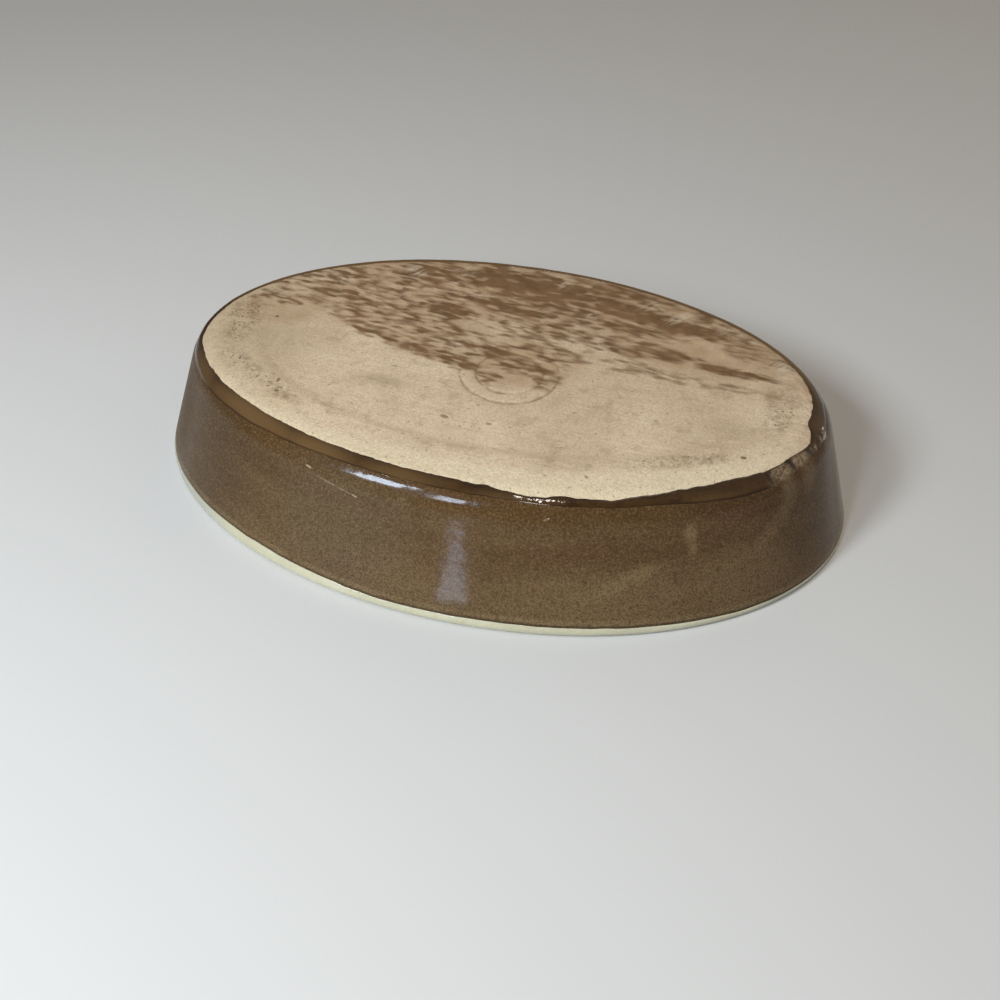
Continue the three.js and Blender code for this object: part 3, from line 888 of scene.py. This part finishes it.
def cream_material():
    """Cream glaze, faintly green, with fine pinholes and iron specks, and painted shade on two stretches of
    the rim.
    """
    m = Material("cream_glaze_finish")
    cloud = m.noise(22, detail=3.0, roughness=0.55)
    grain = m.noise(1.1, detail=3.0, roughness=0.6)
    colour = m.blend(m.step(cloud, 0.3, 0.7), srgb(194, 188, 160), srgb(205, 200, 173))
    colour = m.blend(m.step(grain, 0.4, 0.7, 0.0, 0.35), colour, srgb(178, 170, 138))
    # Painted shade: the cream is made greyer on the listed stretches
    colour = m.blend(m.product(m.wall_patches(CREAM_PAINTED_SHADE), 0.8), colour, srgb(166, 164, 150))
    iron = m.step(m.noise(1.3, detail=1.0, offset=25), 0.74, 0.79)
    colour = m.blend(m.product(iron, 0.7), colour, srgb(132, 104, 66))
    bump = m.bump(m.noise(5), 0.03)
    bump = m.bump(m.math("SUBTRACT", 1.0, iron), 0.03, bump)
    roughness = m.step(grain, 0.3, 0.7, 0.12, 0.24)
    return m.finish(colour, roughness, bump, Specular_IOR_Level=0.5)


body.data.materials.append(clay_material())
wall.data.materials.append(wall_material())
roll.data.materials.append(roll_material())
cream = cream_material()
rim.data.materials.append(cream)
lining.data.materials.append(cream)


# Floor, in metres like all that follows
FLOOR_HALF = 3.0
FLOOR_COLOUR = srgb(213, 212, 210)
FLOOR_ROUGHNESS = 0.42


def build_floor():
    half = FLOOR_HALF
    corners = [(-half, -half, 0), (half, -half, 0), (half, half, 0), (-half, half, 0)]
    mesh = bpy.data.meshes.new("floor")
    mesh.from_pydata(corners, [], [(0, 1, 2, 3)])
    floor = bpy.data.objects.new("floor", mesh)
    bpy.context.collection.objects.link(floor)
    material = bpy.data.materials.new("floor_finish")
    material.use_nodes = True
    shader = material.node_tree.nodes["Principled BSDF"]
    shader.inputs["Base Color"].default_value = FLOOR_COLOUR
    shader.inputs["Roughness"].default_value = FLOOR_ROUGHNESS
    mesh.materials.append(material)


# Light. Azimuth is from -Y towards +X, in degrees, seen from the near side of the foot.
LIGHT_TARGET = Vector((-0.02, -0.08, 0.045))
DAYLIGHT = (0.85, 0.93, 1.0)
LAMPLIGHT = (1.0, 0.84, 0.66)
CEILING_LIGHT = (1.0, 0.95, 0.86)
ROOM_LIGHT = (0.92, 0.96, 1.0)
ROOM_LEVEL = 0.15
WARM_LEVEL = 0.42
WARM_AZIMUTH = 135
WARM_ELEVATION = 34
WARM_SPREAD = 0.2  # the cosine of the angle at which the warm light has faded out
GLOW_NEAR = Vector((-0.005, -0.150, 0.001))  # the ends of a streak of light that lies on the floor
GLOW_FAR = Vector((-0.047, -0.380, 0.001))
GLOW_WIDTH = 0.019
GLOW_COLOUR = (0.86, 0.92, 1.0)
GLOW_RADIANCE = 8.5
LAMP_FACTOR = 4  # the power of a rectangular lamp for each unit of radiance and area
# Lamps that face the dish, as (name, azimuth, elevation, distance, width, height, colour, radiance)
LAMPS = [
    ("window_left", -36.5, 42, 0.9, 0.18, 0.23, DAYLIGHT, 38),
    ("window_right", -13, 37, 0.9, 0.12, 0.2, DAYLIGHT, 27),
    ("ceiling_lamp", 14, 76, 1.5, 0.09, 0.36, CEILING_LIGHT, 26),
    ("far_door", 131, 6, 1.2, 0.1, 0.3, LAMPLIGHT, 3.0),
]


def add_lamp(name, place, axes, width, height, colour, radiance):
    """A rectangular lamp of the given radiance. It shines against the third of its axes."""
    lamp = bpy.data.lights.new(name, "AREA")
    lamp.shape = "RECTANGLE"
    lamp.size = width
    lamp.size_y = height
    lamp.color = colour
    lamp.energy = LAMP_FACTOR * radiance * width * height
    box = bpy.data.objects.new(name, lamp)
    box.matrix_world = Matrix.Translation(place) @ axes.to_4x4()
    box.visible_camera = False
    bpy.context.collection.objects.link(box)


def direction(azimuth, elevation):
    heading = math.radians(azimuth)
    rise = math.radians(elevation)
    level = math.cos(rise)
    return Vector((math.sin(heading) * level, -math.cos(heading) * level, math.sin(rise)))


def add_softbox(name, azimuth, elevation, distance, width, height, colour, radiance):
    """A lamp that faces the dish."""
    away = direction(azimuth, elevation)
    axes = away.to_track_quat("Z", "Y").to_matrix()
    add_lamp(name, LIGHT_TARGET + away * distance, axes, width, height, colour, radiance)


def add_floor_glow():
    """A narrow streak of light on the floor in front of the dish, which the wall mirrors."""
    along = (GLOW_FAR - GLOW_NEAR).normalized()
    down = Vector((0, 0, -1))
    axes = Matrix((along.cross(down), along, down)).transposed()
    length = (GLOW_FAR - GLOW_NEAR).length
    middle = (GLOW_NEAR + GLOW_FAR) / 2
    add_lamp("floor_glow", middle, axes, GLOW_WIDTH, length, GLOW_COLOUR, GLOW_RADIANCE)


def light_room():
    """Dim light from all round, warmer and brighter towards the far right."""
    world = bpy.data.worlds.new("room")
    bpy.context.scene.world = world
    world.use_nodes = True
    tree = world.node_tree
    facing = tree.nodes.new("ShaderNodeVectorMath")
    facing.operation = "DOT_PRODUCT"
    facing.inputs[1].default_value = direction(WARM_AZIMUTH, WARM_ELEVATION)
    tree.links.new(tree.nodes.new("ShaderNodeTexCoord").outputs["Generated"], facing.inputs[0])
    share = tree.nodes.new("ShaderNodeMapRange")
    share.interpolation_type = "SMOOTHSTEP"
    share.inputs["From Min"].default_value = WARM_SPREAD
    tree.links.new(facing.outputs["Value"], share.inputs["Value"])
    tint = tree.nodes.new("ShaderNodeMix")
    tint.data_type = "RGBA"
    tint.inputs[MIX_A].default_value = (*[value * ROOM_LEVEL for value in ROOM_LIGHT], 1)
    tint.inputs[MIX_B].default_value = (*[value * WARM_LEVEL for value in LAMPLIGHT], 1)
    tree.links.new(share.outputs["Result"], tint.inputs[MIX_FACTOR])
    tree.links.new(tint.outputs[MIX_COLOUR], tree.nodes["Background"].inputs["Color"])
    tree.nodes["Background"].inputs["Strength"].default_value = 1.0


for lamp in LAMPS:
    add_softbox(*lamp)
add_floor_glow()
light_room()
build_floor()

# Camera, at the photograph's angle
IMAGE_PIXELS = 1000
FOCAL_PIXELS = 1177.56
SENSOR = 36
NEAR_CLIP = 0.01
CAMERA_PLACE = Vector((0.0854, -0.3932, 0.3400))
CAMERA_FORWARD = Vector((-0.1578, 0.7260, -0.6694))
CAMERA_RIGHT = Vector((0.9713, 0.2362, 0.0272))

lens = bpy.data.cameras.new("camera")
lens.sensor_width = SENSOR
lens.lens = FOCAL_PIXELS * SENSOR / IMAGE_PIXELS
lens.clip_start = NEAR_CLIP
camera = bpy.data.objects.new("camera", lens)
camera_axes = Matrix((CAMERA_RIGHT, CAMERA_RIGHT.cross(CAMERA_FORWARD), -CAMERA_FORWARD)).transposed()
camera.matrix_world = Matrix.Translation(CAMERA_PLACE) @ camera_axes.to_4x4()
bpy.context.collection.objects.link(camera)
bpy.context.scene.camera = camera
bpy.context.scene.view_settings.view_transform = "Standard"
